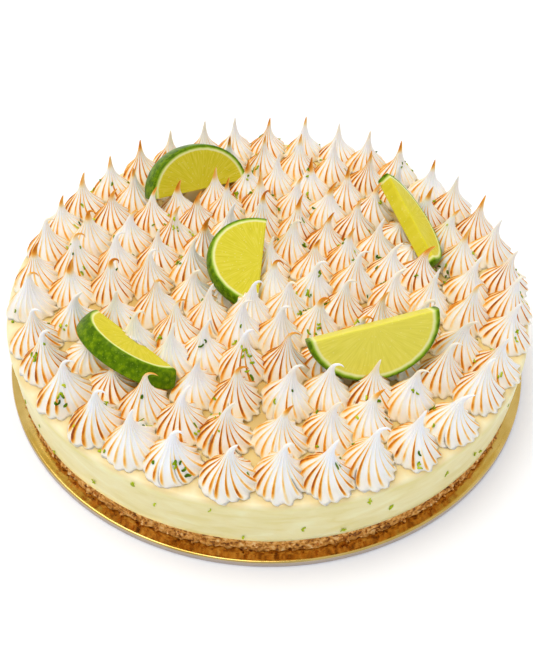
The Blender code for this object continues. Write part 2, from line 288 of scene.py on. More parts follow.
def kissShape(base, place, own):
    # every point of one kiss, and the paint values that its toasting is drawn from
    level = base[:, 2]
    around = np.arctan2(base[:, 1], base[:, 0])
    crests = kissValues["crests"]
    share = (around * crests / math.tau) % 1.0
    gap = 1.0 - np.abs(share * 2.0 - 1.0)           # 0 on a crest, 1 in a valley
    gap = np.where(gap < 0.001, 0.0, gap)
    side = np.where((gap < 0.001) | (gap > 0.999), 0.0, np.where(share < 0.5, 1.0, -1.0))
    outline = np.array(kissOutline)
    radius = np.interp(level, outline[:, 0], outline[:, 1]) * kissValues["radius"] * place["size"]
    radius *= 1.0 - own["thinTip"] * smoothStep(0.55, 0.95, level)
    depth = kissValues["fluteDepth"] * own["flute"] * (0.55 + 0.45 * smoothStep(0.0, 0.13, level))
    radius *= 1.0 - depth * np.sin(gap * math.pi / 2.0) * (1.0 - 0.6 * smoothStep(0.75, 1.0, level))
    # crests differ a little from each other
    number = np.floor(around * crests / math.tau + 0.5).astype(int) % crests
    uneven = own["crestNoise"][number]
    radius *= 1.0 + 0.09 * uneven * (1.0 - gap) * (1.0 - level)
    angle = around + place["turn"] + own["twist"] * level ** 0.45
    # no kiss is quite round
    radius *= (1.0 + 0.045 * np.cos(2.0 * angle + own["ovalTurn"])
               + 0.025 * np.cos(3.0 * angle - own["ovalTurn"]))
    angle += 0.055 * np.sin(own["crestNoise"][(number + 5) % crests] * 3.0) * (1.0 - level)
    # the middle line bends, more and more towards the tip
    steps = 60
    t = np.linspace(0.0, 1.0, steps + 1)
    bend = own["tilt"] * t + own["curl"] * smoothStep(own["curlFrom"], 1.0, t) * t
    halfway = (bend[1:] + bend[:-1]) / 2.0
    run = np.concatenate([[0.0], np.cumsum(np.sin(halfway))]) / steps * own["length"]
    rise = np.concatenate([[0.0], np.cumsum(np.cos(halfway))]) / steps * own["length"]
    bendHere = np.interp(level, t, bend)
    runHere = np.interp(level, t, run)
    riseHere = np.interp(level, t, rise)
    way = own["way"]
    along = radius * np.cos(angle - way)
    across = radius * np.sin(angle - way)
    outX = runHere + along * np.cos(bendHere)
    z = riseHere - along * np.sin(bendHere)
    x = place["x"] + outX * math.cos(way) - across * math.sin(way)
    y = place["y"] + outX * math.sin(way) + across * math.cos(way)
    points = np.stack([x, y, fillingTop + np.maximum(z, -0.0002)], axis=1)
    # crests that face the torch are browner, and a line fades out above the foot and up the neck
    facing = 0.5 + 0.5 * np.cos(angle - own["torchWay"])
    heat = own["burn"] * (own["shade"] + (1.0 - own["shade"]) * facing) * own["crestHeat"][number]
    start, end = own["crestFrom"][number], own["crestTo"][number]
    heat *= np.clip((level - start) / 0.10, 0.0, 1.0) * (1.0 - 0.45 * smoothStep(0.15, 0.60, level))
    heat *= 1.0 - own["neckWhite"] * np.clip((level - end + 0.30) / 0.30, 0.0, 1.0)
    paint = np.stack([gap, side * 0.5 + 0.5, level, np.clip(heat, 0.0, 1.0)], axis=1)
    toast = own["tipToast"] * smoothStep(own["toastFrom"], own["toastFrom"] + 0.22, level)
    toast *= 0.35 + 0.65 * facing
    return points, paint, toast


def clearOfLimes(points, place):
    # points that would be inside a slice move out of it, to the side where the kiss stands
    for name, lime in limeValues.items():
        inverse = np.array(limeFrames[name].inverted())
        local = points @ inverse[:3, :3].T + inverse[:3, 3]
        middle = limeFrames[name].inverted() @ Vector((place["x"], place["y"], fillingTop + 0.010))
        half = lime["thick"] * 0.5 + 0.0001
        oval = np.hypot(local[:, 0] / (lime["length"] * 0.5), local[:, 1] / (lime["depth"]))
        inside = (local[:, 1] > 0.0) & (np.abs(local[:, 2]) < half) & (oval < 1.0)
        if not inside.any():
            continue
        if abs(middle.z) > half * 0.6 or middle.y > 0.0:
            local[inside, 2] = math.copysign(half, middle.z)
        else:
            local[inside, 1] = -0.0001
        forward = np.array(limeFrames[name])
        points[inside] = local[inside] @ forward[:3, :3].T + forward[:3, 3]
    return points


def kissManner(place, reach, rng):
    # how one kiss was piped and torched
    front = max(0.0, min(1.0, (0.070 - place["y"]) / 0.06))       # 0 at the back of the pie
    hooked = place["curl"] > kissValues["hookFrom"] and rng.random() < kissValues["hookShare"]
    own = {"length": reach, "tilt": 0.06 + 0.18 * place["curl"], "curl": 0.25 + 0.8 * place["curl"],
           "curlFrom": 0.50, "thinTip": 0.15, "way": rng.gauss(0.0, 0.35)}
    if hooked:
        own.update(length=reach * kissValues["hookLength"],
                   curl=2.2 + 1.8 * place["curl"] * rng.random(), curlFrom=0.70, thinTip=0.45)
    if front < 0.25:
        own.update(tilt=0.04, curl=0.10, way=rng.uniform(-1.5, 1.5), thinTip=0.15)
    own["twist"] = rng.uniform(*kissValues["twist"])
    own["ovalTurn"] = rng.uniform(0.0, math.tau)
    own["flute"] = rng.uniform(0.85, 1.15)
    own["crestNoise"] = np.array([rng.uniform(-1.0, 1.0) for crest in range(kissValues["crests"])])
    least, most = torchValues["burnLimits"]
    own["burn"] = min(most, max(least, rng.gauss(*torchValues["burn"])))
    own["crestHeat"] = np.array([rng.uniform(*torchValues["crestBurn"])
                                 for crest in range(kissValues["crests"])])
    reachUp = rng.uniform(*torchValues["lineTo"])
    own["crestFrom"] = np.array([rng.uniform(*torchValues["lineFrom"])
                                 for crest in range(kissValues["crests"])])
    own["crestTo"] = np.array([reachUp + rng.uniform(-0.12, 0.10) for crest in range(kissValues["crests"])])
    own["torchWay"] = torchValues["way"] + rng.gauss(0.0, torchValues["waySpread"])
    own["shade"] = rng.uniform(*torchValues["shade"])
    own["neckWhite"] = rng.uniform(*torchValues["neckWhite"])
    own["toastFrom"] = rng.uniform(*torchValues["tipFrom"])
    likelyBrown = torchValues["backTips"] if place["y"] > 0.02 else torchValues["frontTips"]
    brownTip = rng.random() < likelyBrown
    own["tipToast"] = rng.uniform(*torchValues["brownTips"]) if brownTip else rng.uniform(0.0, 0.12)
    if place["ring"] == 0 and place["y"] < -0.03:
        own["tipToast"] = 0.0
    if own["tipToast"] > 0.45 and rng.random() < torchValues["burntToTip"]:
        # the torch caught this one all the way up
        own.update(crestTo=own["crestTo"] + 0.5, neckWhite=0.35)
    return own


def torchedMeringue():
    # Italian meringue, piped and browned with a torch: satin white foam, orange brown crests
    material, tree, shader = newMaterial("torchedMeringue")
    paint = addNode(tree, "ShaderNodeAttribute", attribute_name="kissPaint")
    toast = addNode(tree, "ShaderNodeAttribute", attribute_name="tipToast")
    place = addNode(tree, "ShaderNodeTexCoord").outputs["Object"]
    split = addNode(tree, "ShaderNodeSeparateColor", {"Color": paint.outputs["Color"]})
    crestGap, flank, level = split.outputs[:3]
    burn = paint.outputs["Alpha"]
    patches = addNode(tree, "ShaderNodeTexNoise", {"Vector": place, "Scale": 1 / (7 * mm), "Detail": 2.0})
    streaks = addNode(tree, "ShaderNodeTexNoise", {"Vector": place, "Scale": 1 / (2.2 * mm), "Detail": 2.0})
    # the browned line is narrow on one side of the crest and fades out on the other
    width = addNode(tree, "ShaderNodeMapRange", {"Value": flank, "To Min": 0.29, "To Max": 0.56})
    line = addNode(tree, "ShaderNodeMapRange", {"Value": crestGap, "From Min": 0.02,
                                                "From Max": width.outputs[0], "To Min": 1.0, "To Max": 0.0},
                   interpolation_type="SMOOTHSTEP")
    vary = addNode(tree, "ShaderNodeMapRange", {"Value": patches.outputs["Fac"], "From Min": 0.34,
                                                "From Max": 0.62, "To Min": 0.78, "To Max": 1.38})
    fine = addNode(tree, "ShaderNodeMapRange", {"Value": streaks.outputs["Fac"], "From Min": 0.3,
                                                "From Max": 0.65, "To Min": 0.80, "To Max": 1.1})
    heat = addNode(tree, "ShaderNodeMath", {0: line.outputs[0], 1: vary.outputs[0]}, operation="MULTIPLY")
    heat = addNode(tree, "ShaderNodeMath", {0: heat.outputs[0], 1: fine.outputs[0]}, operation="MULTIPLY")
    # and a faint warm tint covers the whole flank
    heat = addNode(tree, "ShaderNodeMath", {0: heat.outputs[0], 1: 0.025}, operation="ADD")
    heat = addNode(tree, "ShaderNodeMath", {0: heat.outputs[0], 1: burn}, operation="MULTIPLY")
    # browned tips
    heat = addNode(tree, "ShaderNodeMath", {0: heat.outputs[0], 1: toast.outputs["Fac"]},
                   operation="MAXIMUM")
    brown = addNode(tree, "ShaderNodeValToRGB", {"Fac": heat.outputs[0]})
    setRamp(brown, [(0.0, "FFFFFF"), (0.08, "FFF4DA"), (0.22, "FFD68C"), (0.38, "F6AE3E"), (0.58, "DE8812"),
                    (0.80, "BA6202"), (1.0, "924600")])
    foam = addNode(tree, "ShaderNodeValToRGB", {"Fac": patches.outputs["Fac"]})
    setRamp(foam, [(0.35, "F9F9F7"), (0.65, "FBF8F1")])
    colour = addNode(tree, "ShaderNodeMix", {0: 1.0, 6: foam.outputs["Color"], 7: brown.outputs["Color"]},
                     data_type="RGBA", blend_type="MULTIPLY")
    # the lower flanks of the inner kisses get a painted warm tint, standing in for light bounced off their
    # neighbours into the shade there; those at the rim get less
    inner = addNode(tree, "ShaderNodeMapRange", {"Value": fromMiddle(tree, place), "From Min": 0.090,
                                                 "From Max": 0.112, "To Min": 1.0, "To Max": 0.6})
    low = addNode(tree, "ShaderNodeMapRange", {"Value": level, "From Min": 0.02, "From Max": 0.26,
                                               "To Min": 1.0, "To Max": 0.0})
    warm = addNode(tree, "ShaderNodeMath", {0: inner.outputs[0], 1: low.outputs[0]}, operation="MULTIPLY")
    colour = addNode(tree, "ShaderNodeMix", {0: warm.outputs[0], 6: colour.outputs[2],
                                             7: toLinear("FFF3DA")},
                     data_type="RGBA", blend_type="MULTIPLY")
    tree.links.new(colour.outputs[2], shader.inputs["Base Color"])
    bubbles = addNode(tree, "ShaderNodeTexNoise", {"Vector": place, "Scale": 1 / (0.7 * mm), "Detail": 2.0})
    bump = addNode(tree, "ShaderNodeBump", {"Height": bubbles.outputs["Fac"], "Strength": 0.10,
                                            "Distance": 0.2 * mm})
    tree.links.new(bump.outputs["Normal"], shader.inputs["Normal"])
    shader.inputs["Roughness"].default_value = 0.42
    shader.inputs["IOR"].default_value = 1.42
    shader.inputs["Specular IOR Level"].default_value = 0.30
    shader.inputs["Subsurface Weight"].default_value = 0.15
    shader.inputs["Subsurface Radius"].default_value = (1.0, 0.75, 0.40)
    shader.inputs["Subsurface Scale"].default_value = 0.8 * mm
    return material


def makeKisses():
    rng = random.Random(kissValues["mannerSeed"])
    material = torchedMeringue()
    template, base = kissTemplate()
    full = kissValues["height"]
    kisses, pieces = [], []
    for place in kissPlaces():
        reach = fittedHeight(place["x"], place["y"], place["height"])
        tip = kissValues["tipExtra"] if reach > 0.9 * full else 0.0
        own = kissManner(place, reach + tip, rng)
        if reach > kissValues["shortest"] * full:
            kisses.append((place, own))
    for ring in range(len(kissRings)):
        here = [(place, own) for place, own in kisses if place["ring"] == ring]
        bm = bmesh.new()
        points, paints, toasts = [], [], []
        for place, own in here:
            bm.from_mesh(template)
            shape, paint, toast = kissShape(base, place, own)
            points.append(clearOfLimes(shape, place))
            paints.append(paint)
            toasts.append(toast)
        piece = meshObject(f"kissRing{ring + 1}", bm, material)
        mesh = piece.data
        mesh.vertices.foreach_set("co", np.concatenate(points).ravel())
        mesh.attributes.new("kissPaint", "FLOAT_COLOR", "POINT").data.foreach_set(
            "color", np.concatenate(paints).astype(np.float32).ravel())
        mesh.attributes.new("tipToast", "FLOAT", "POINT").data.foreach_set(
            "value", np.concatenate(toasts).astype(np.float32))
        mesh.update()
        onTheFrame(piece, "meringue", "meringue")
        pieces.append(piece)
    bpy.data.meshes.remove(template)
    print("kisses:", sum(len(p.data.polygons) for p in pieces), "faces")
    return pieces


# set lime cream

creamValues = {"radius": 0.1200, "top": fillingTop, "bottom": 0.0120, "rimRound": 0.0024,
               "draft": 0.0005,                     # how much narrower it is at the bottom
               "wave": 0.00022, "waveFrom": 0.008,  # unevenness of the side, and how far in it starts
               "tanShadeFrom": 0.0750, "tanShadeRings": 35, "tanShadeStep": 0.0012,    # rings of points that carry the tan and the painted shade
               "footShadeReach": 0.0034}                  # how far past a kiss's foot the painted warm shade reaches


def limeCream():
    # gelatine-set lime cream: pale yellow, satin, a little see-through
    material, tree, shader = newMaterial("limeCream")
    place = addNode(tree, "ShaderNodeTexCoord").outputs["Object"]
    split = addNode(tree, "ShaderNodeSeparateXYZ", {"Vector": place})
    # laid down in level swirls
    swirlPlace = addNode(tree, "ShaderNodeMapping", {"Vector": place, "Scale": (1.0, 1.0, 3.0)})
    clouds = addNode(tree, "ShaderNodeTexNoise", {"Vector": swirlPlace.outputs[0], "Scale": 1 / (16 * mm),
                                                  "Detail": 4.0, "Distortion": 0.6})
    side = addNode(tree, "ShaderNodeValToRGB", {"Fac": clouds.outputs["Fac"]})
    setRamp(side, [(0.34, "E7D88E"), (0.46, "ECDE9C"), (0.58, "EFE3A6"), (0.68, "F2E9B2")])
    # between the kisses the cream is tanned by the torch and darkened with painted shade, most of all
    # further in
    tanAndShade = addNode(tree, "ShaderNodeMapRange", {"Value": fromMiddle(tree, place), "From Min": 0.070,
                                               "From Max": 0.120})
    tanAndShade = addNode(tree, "ShaderNodeValToRGB", {"Fac": tanAndShade.outputs[0]})
    setRamp(tanAndShade, [(0.0, "C2A062"), (0.35, "D4BA7A"), (0.66, "E8D99E"), (0.86, "F1E6B8")])
    # painted warm shade where the cream meets the kisses' feet
    kissNear = addNode(tree, "ShaderNodeAttribute", attribute_name="kissNear")
    warm = addNode(tree, "ShaderNodeMath", {0: kissNear.outputs["Fac"], 1: 0.55}, operation="MULTIPLY")
    tanAndShade = addNode(tree, "ShaderNodeMix", {0: warm.outputs[0], 6: tanAndShade.outputs["Color"],
                                          7: toLinear("DEB862")}, data_type="RGBA")
    onTop = addNode(tree, "ShaderNodeMapRange", {"Value": split.outputs["Z"], "From Min": 0.0335,
                                                 "From Max": 0.0345})
    colour = addNode(tree, "ShaderNodeMix", {0: onTop.outputs[0], 6: side.outputs["Color"],
                                             7: tanAndShade.outputs[2]}, data_type="RGBA")
    tree.links.new(colour.outputs[2], shader.inputs["Base Color"])
    # faint smears from the warm knife that freed it from the ring
    smearPlace = addNode(tree, "ShaderNodeMapping", {"Vector": place, "Scale": (1.0, 1.0, 6.0)})
    smears = addNode(tree, "ShaderNodeTexNoise", {"Vector": smearPlace.outputs[0], "Scale": 1 / (9 * mm),
                                                  "Detail": 4.0})
    bump = addNode(tree, "ShaderNodeBump", {"Height": smears.outputs["Fac"], "Strength": 0.35,
                                            "Distance": 0.5 * mm})
    tree.links.new(bump.outputs["Normal"], shader.inputs["Normal"])
    shader.inputs["Roughness"].default_value = 0.32
    shader.inputs["IOR"].default_value = 1.45
    shader.inputs["Subsurface Weight"].default_value = 0.25
    shader.inputs["Subsurface Radius"].default_value = (1.0, 0.8, 0.4)
    shader.inputs["Subsurface Scale"].default_value = 3 * mm
    return material


def makeCream():
    r, top, bottom, k = (creamValues[key] for key in ("radius", "top", "bottom", "rimRound"))
    outline = [(0.0, top), (r * 0.5, top)]
    outline += [(creamValues["tanShadeFrom"] + creamValues["tanShadeStep"] * ring, top)
                for ring in range(creamValues["tanShadeRings"])]
    for step in range(9):
        turn = math.radians(11.25 * step)
        outline.append((r - k + k * math.sin(turn), top - k + k * math.cos(turn)))
    rows = 12
    for row in range(1, rows + 1):
        outline.append((r - creamValues["draft"] * row / rows, top - k - (top - k - bottom) * row / rows))
    outline.append((0.0, bottom))
    bm = turnProfile(outline, 360)
    wave = creamValues["wave"]
    for vert in bm.verts:
        out = math.hypot(vert.co.x, vert.co.y)
        if out > r - creamValues["waveFrom"]:
            push = noise.noise(Vector((vert.co.x, vert.co.y, vert.co.z * 2.5)) * 55.0) * wave
            vert.co.x += vert.co.x / out * (push - wave)
            vert.co.y += vert.co.y / out * (push - wave)
            if vert.co.z > top - k:
                vert.co.z += 0.6 * push
    piece = meshObject("limeCream", bm, limeCream())
    # how near each point is to the foot of a kiss, for the painted warm shade around the feet
    co = np.zeros(len(piece.data.vertices) * 3)
    piece.data.vertices.foreach_get("co", co)
    co = co.reshape(-1, 3)
    feet = [(place["x"], place["y"], kissValues["radius"] * place["size"]) for place in kissPlaces()]
    gap = np.min([np.hypot(co[:, 0] - x, co[:, 1] - y) - foot for x, y, foot in feet], axis=0)
    piece.data.attributes.new("kissNear", "FLOAT", "POINT").data.foreach_set(
        "value", (1.0 - smoothStep(-0.0005, creamValues["footShadeReach"], gap)).astype(np.float32))
    onTheFrame(piece, "cream", "lime_filling")
    print("lime cream made")
    return piece


# pressed biscuit crumb

crumbValues = {"radius": 0.1186, "top": 0.0117, "bottom": 0.0033, "crag": 0.0012,
               "grains": 900, "grainSize": 0.0011, "seed": 21}


def biscuitCrumb():
    # butter biscuit crumb, pressed and chilled: matt, golden brown of varying tone, with darker patches
    # painted in as the shade in its gaps
    material, tree, shader = newMaterial("biscuitCrumb")
    place = addNode(tree, "ShaderNodeTexCoord").outputs["Object"]
    grains = addNode(tree, "ShaderNodeTexNoise", {"Vector": place, "Scale": 1 / (1.9 * mm), "Detail": 4.0})
    colour = addNode(tree, "ShaderNodeValToRGB", {"Fac": grains.outputs["Fac"]})
    setRamp(colour, [(0.36, "7E4400"), (0.45, "C88024"), (0.56, "ECAA50"), (0.68, "FCD08A")])
    tree.links.new(colour.outputs["Color"], shader.inputs["Base Color"])
    grit = addNode(tree, "ShaderNodeTexNoise", {"Vector": place, "Scale": 1 / (0.5 * mm), "Detail": 2.0})
    bump = addNode(tree, "ShaderNodeBump", {"Height": grit.outputs["Fac"], "Strength": 0.5,
                                            "Distance": 0.3 * mm})
    tree.links.new(bump.outputs["Normal"], shader.inputs["Normal"])
    shader.inputs["Roughness"].default_value = 0.85
    return material


def makeCrumb():
    r, top, bottom = (crumbValues[key] for key in ("radius", "top", "bottom"))
    inside = r - 0.006        # where the level top and bottom end
    outline = [(0.0, top), (inside, top)]
    rows = 12
    for row in range(rows + 1):
        outline.append((r, top - (top - bottom) * row / rows))
    outline += [(inside, bottom), (0.0, bottom)]
    bm = turnProfile(outline, 480)
    for vert in bm.verts:
        out = math.hypot(vert.co.x, vert.co.y)
        if out > r - 0.001:
            lumps = (noise.noise(Vector((vert.co.x, vert.co.y, vert.co.z * 1.7)) * 330.0)
                     + 0.7 * noise.noise(vert.co * 900.0))
            push = crumbValues["crag"] * (lumps - 0.35)
            vert.co.x += vert.co.x / out * push
            vert.co.y += vert.co.y / out * push
    material = biscuitCrumb()
    onTheFrame(meshObject("crumbBase", bm, material), "crumb", "crumb_base")
    # loose grains that stick out of the pressed side
    rng = random.Random(crumbValues["seed"])
    noise.seed_set(crumbValues["seed"])      # the grains' lumps are the same each run
    bm = bmesh.new()
    for number in range(crumbValues["grains"]):
        turn = rng.uniform(0.0, math.tau)
        size = rng.uniform(0.35, 1.0) ** 1.6 * crumbValues["grainSize"]
        height = rng.uniform(bottom + size * 0.5, top - size * 0.4)
        out = r + rng.uniform(-0.0006, 0.0003)
        stretch = Matrix.Diagonal((size, size * rng.uniform(0.6, 1.0), size * rng.uniform(0.5, 0.9), 1.0))
        place = (Matrix.Translation((out * math.cos(turn), out * math.sin(turn), height))
                 @ Matrix.Rotation(rng.uniform(0.0, math.tau), 4, Vector((rng.random(), rng.random(), 1.0)))
                 @ stretch)
        made = bmesh.ops.create_icosphere(bm, subdivisions=1, radius=1.0, matrix=place)
        for vert in made["verts"]:
            vert.co += noise.noise_vector(vert.co * 900.0) * size * 0.35
    onTheFrame(meshObject("crumbGrains", bm, material), "crumb")
    print("crumb base made")


# gold cake card

cardValues = {"radius": 0.1234, "thick": 0.0030, "lip": 0.0010}


def goldCard():
    # foil-laminated cake card: soft gold mirror with a fine pressed grain, bare pulp board below
    material, tree, shader = newMaterial("goldFoil")
    place = addNode(tree, "ShaderNodeTexCoord").outputs["Object"]
    wear = addNode(tree, "ShaderNodeTexNoise", {"Vector": place, "Scale": 1 / (14 * mm), "Detail": 3.0})
    colour = addNode(tree, "ShaderNodeValToRGB", {"Fac": wear.outputs["Fac"]})
    setRamp(colour, [(0.3, "CEAA54"), (0.7, "E4C476")])
    # below the foil's lip the card shows its cut edge and underside
    split = addNode(tree, "ShaderNodeSeparateXYZ", {"Vector": place})
    foil = addNode(tree, "ShaderNodeMapRange", {"Value": split.outputs["Z"], "From Min": 0.0024,
                                                "From Max": 0.0026})
    colour = addNode(tree, "ShaderNodeMix", {0: foil.outputs[0], 6: toLinear("B9A795"),
                                             7: colour.outputs["Color"]}, data_type="RGBA")
    tree.links.new(colour.outputs[2], shader.inputs["Base Color"])
    tree.links.new(foil.outputs[0], shader.inputs["Metallic"])
    dull = addNode(tree, "ShaderNodeMapRange", {"Value": foil.outputs[0], "To Min": 0.60, "To Max": 0.14})
    tree.links.new(dull.outputs[0], shader.inputs["Roughness"])
    grain = addNode(tree, "ShaderNodeTexNoise", {"Vector": place, "Scale": 1 / (2.5 * mm), "Detail": 3.0})
    bump = addNode(tree, "ShaderNodeBump", {"Height": grain.outputs["Fac"], "Strength": 0.20,
                                            "Distance": 0.2 * mm})
    tree.links.new(bump.outputs["Normal"], shader.inputs["Normal"])
    return material


def makeCard():
    r, thick, lip = (cardValues[key] for key in ("radius", "thick", "lip"))
    # the foil dips a little just inside the lip
    outline = [(0.0, thick), (r - 0.02, thick), (r - 0.0030, thick), (r - 0.0018, thick - 0.00012)]
    for step in range(7):
        turn = math.radians(15.0 * step)
        outline.append((r - lip + lip * math.sin(turn), thick - lip + lip * math.cos(turn)))
    outline += [(r, 0.0004), (r - 0.0004, 0.0), (0.0, 0.0)]
    onTheFrame(meshObject("cakeCard", turnProfile(outline, 256), goldCard()), "gold_card", "cake_card")
    print("card made")


# lime half slices

def limeFlesh():
    # fresh cut lime: wet translucent pulp, white pith and waxy green rind with oil glands
    material, tree, shader = newMaterial("freshLime")
    spot = addNode(tree, "ShaderNodeUVMap", uv_map="sliceMap").outputs["UV"]
    place = addNode(tree, "ShaderNodeTexCoord").outputs["Object"]
    split = addNode(tree, "ShaderNodeSeparateXYZ", {"Vector": spot})
    reach = addNode(tree, "ShaderNodeVectorMath", {0: spot}, operation="LENGTH")
    turn = addNode(tree, "ShaderNodeMath", {0: split.outputs["Y"], 1: split.outputs["X"]},
                   operation="ARCTAN2")
    rays = addNode(tree, "ShaderNodeCombineXYZ", {"X": turn.outputs[0], "Y": reach.outputs["Value"]})
    rayPlace = addNode(tree, "ShaderNodeMapping", {"Vector": rays.outputs[0], "Scale": (16.0, 2.2, 1.0)})
    pulp = addNode(tree, "ShaderNodeTexNoise", {"Vector": rayPlace.outputs[0], "Scale": 1.6, "Detail": 3.0,
                                                "Distortion": 0.3})
    flesh = addNode(tree, "ShaderNodeValToRGB", {"Fac": pulp.outputs["Fac"]})
    setRamp(flesh, [(0.30, "CCBE20"), (0.5, "D6C82E"), (0.70, "DED04A")])
    # pale dots are painted highlights: glints off the wet pulp's cells
    dots = addNode(tree, "ShaderNodeTexVoronoi", {"Vector": place, "Scale": 1 / (1.9 * mm)})
    dot = addNode(tree, "ShaderNodeMapRange", {"Value": dots.outputs["Distance"], "From Min": 0.10,
                                               "From Max": 0.20, "To Min": 0.25, "To Max": 0.0})
    flesh = addNode(tree, "ShaderNodeMix", {0: dot.outputs[0], 6: flesh.outputs["Color"],
                                            7: toLinear("F2EFB0")}, data_type="RGBA")
    rough = addNode(tree, "ShaderNodeTexNoise", {"Vector": place, "Scale": 1 / (3 * mm), "Detail": 2.0})
    shift = addNode(tree, "ShaderNodeMapRange", {"Value": rough.outputs["Fac"], "To Min": -0.012,
                                                 "To Max": 0.012})
    edge = addNode(tree, "ShaderNodeMath", {0: reach.outputs["Value"], 1: shift.outputs[0]},
                   operation="ADD")
    # painted light: the pulp of some slices is lightened, as if those slices caught more light
    pale = addNode(tree, "ShaderNodeAttribute", attribute_name="pulpPaintedLight")
    flesh = addNode(tree, "ShaderNodeMix", {0: pale.outputs["Fac"], 6: flesh.outputs[2],
                                            7: toLinear("FFF888")}, data_type="RGBA")
    pith = addNode(tree, "ShaderNodeMapRange", {"Value": edge.outputs[0], "From Min": 0.855,
                                                "From Max": 0.890}, interpolation_type="SMOOTHSTEP")
    # from pale pith to the bright green just under the skin
    peel = addNode(tree, "ShaderNodeValToRGB", {"Fac": edge.outputs[0]})
    setRamp(peel, [(0.885, "E8E6A4"), (0.905, "DCE08C"), (0.925, "A4BC3C"), (0.950, "6E9410")])
    rind = addNode(tree, "ShaderNodeMapRange", {"Value": edge.outputs[0], "From Min": 0.928,
                                                "From Max": 0.962}, interpolation_type="SMOOTHSTEP")
    glands = addNode(tree, "ShaderNodeTexVoronoi", {"Vector": place, "Scale": 1 / (1.1 * mm)})
    blotches = addNode(tree, "ShaderNodeTexNoise", {"Vector": place, "Scale": 1 / (2.4 * mm),
                                                    "Detail": 4.0})
    skin = addNode(tree, "ShaderNodeValToRGB", {"Fac": blotches.outputs["Fac"]})
    setRamp(skin, [(0.34, "446200"), (0.50, "587800"), (0.66, "749000")])
    speck = addNode(tree, "ShaderNodeMapRange", {"Value": glands.outputs["Distance"], "From Min": 0.05,
                                                 "From Max": 0.30, "To Min": 0.30, "To Max": 0.0})
    skin = addNode(tree, "ShaderNodeMix", {0: speck.outputs[0], 6: skin.outputs["Color"],
                                           7: toLinear("B4C848")}, data_type="RGBA")
    colour = addNode(tree, "ShaderNodeMix", {0: pith.outputs[0], 6: flesh.outputs[2],
                                             7: peel.outputs["Color"]}, data_type="RGBA")
    colour = addNode(tree, "ShaderNodeMix", {0: rind.outputs[0], 6: colour.outputs[2], 7: skin.outputs[2]},
                     data_type="RGBA")
    tree.links.new(colour.outputs[2], shader.inputs["Base Color"])
    relief = addNode(tree, "ShaderNodeMix", {0: rind.outputs[0], 2: pulp.outputs["Fac"],
                                             3: glands.outputs["Distance"]})
    bump = addNode(tree, "ShaderNodeBump", {"Height": relief.outputs[0], "Strength": 0.16,
                                            "Distance": 0.3 * mm})
    tree.links.new(bump.outputs["Normal"], shader.inputs["Normal"])
    shader.inputs["Roughness"].default_value = 0.30
    shader.inputs["Specular IOR Level"].default_value = 0.06
    # light passes through the pulp, not through the rind
    pulpGlow = addNode(tree, "ShaderNodeMapRange", {"Value": rind.outputs[0], "To Min": 0.40,
                                                    "To Max": 0.0})
    tree.links.new(pulpGlow.outputs[0], shader.inputs["Subsurface Weight"])
    shader.inputs["Subsurface Radius"].default_value = (1.0, 0.9, 0.3)
    shader.inputs["Subsurface Scale"].default_value = 4 * mm
    return material


def makeLime(name, lime, material):
    r = lime["length"] * 0.5
    t = lime["thick"] * 0.5
    bulge, edge = limeCut["bulge"], limeCut["rindEdge"]
    top = r - lime["flare"]
    outline = [(0.0, t), (top * 0.5, t), (top * 0.85, t), (top - bulge - edge, t)]
    for step in range(1, 8):
        height = t - edge - (t - edge) * 2.0 * (step - 1) / 6.0
        outline.append(((r + top) / 2.0 - (r - top) / 2.0 * height / t - bulge * (height / t) ** 2, height))
    outline += [(r - bulge - edge, -t), (r * 0.85, -t), (r * 0.5, -t), (0.0, -t)]
    bm = bmesh.new()
    row = [bm.verts.new((x, 0.0, z)) for x, z in outline]
    edges = [bm.edges.new(pair) for pair in zip(row[:-1], row[1:])]
    bmesh.ops.spin(bm, geom=row + edges, cent=(0, 0, 0), axis=(0, 0, 1), angle=math.pi, steps=64)
    bmesh.ops.remove_doubles(bm, verts=bm.verts, dist=0.00001)
    rim = [e for e in bm.edges if e.is_boundary]
    bmesh.ops.holes_fill(bm, edges=rim, sides=0)
    bmesh.ops.recalc_face_normals(bm, faces=bm.faces)
    # the knife leaves the two long edges a little soft
    hair = 1e-6
    long = [e for e in bm.edges
            if all(abs(v.co.y) < hair and abs(abs(v.co.z) - t) < hair for v in e.verts)]
    bmesh.ops.bevel(bm, geom=long, offset=limeCut["knifeEdge"], segments=3, profile=0.5, affect="EDGES")
    layer = bm.loops.layers.uv.new("sliceMap")
    for face in bm.faces:
        for loop in face.loops:
            here = (r + top) / 2.0 - (r - top) / 2.0 * loop.vert.co.z / t
            loop[layer].uv = (loop.vert.co.x / here, loop.vert.co.y / here)
    bmesh.ops.scale(bm, vec=(1.0, lime["depth"] / r, 1.0), verts=bm.verts)
    bmesh.ops.transform(bm, matrix=limeFrames[name], verts=bm.verts)
    piece = meshObject(name.replace("lime_slice", "limeSlice"), bm, material)
    piece.data.set_sharp_from_angle(angle=math.radians(40.0))
    # each slice's share of painted light on its pulp
    pale = piece.data.attributes.new("pulpPaintedLight", "FLOAT", "POINT").data
    pale.foreach_set("value", [lime["pale"]] * len(pale))
    onTheFrame(piece, "lime", name)


# zest

zestValues = {"onTop": 430, "onSide": 46, "seed": 5,
              "lengths": (0.0011, 0.0032), "widths": (0.0007, 0.0012),
              "bends": (0.6, 2.6),                  # radians from end to end
              "reach": 0.116,                       # how far out it fell
              "highest": 0.052,                     # and how high up a kiss it stays
              "alone": 0.5,                         # share of shreds that lie alone, not in a group
              "group": (2, 5), "spread": 0.0011,
              "inSide": (0.014, 0.032),             # heights of the shreds in the cream's side
              "sunk": 0.0004, "sideWidth": 0.7}     # how deep they lie, and how much narrower they look


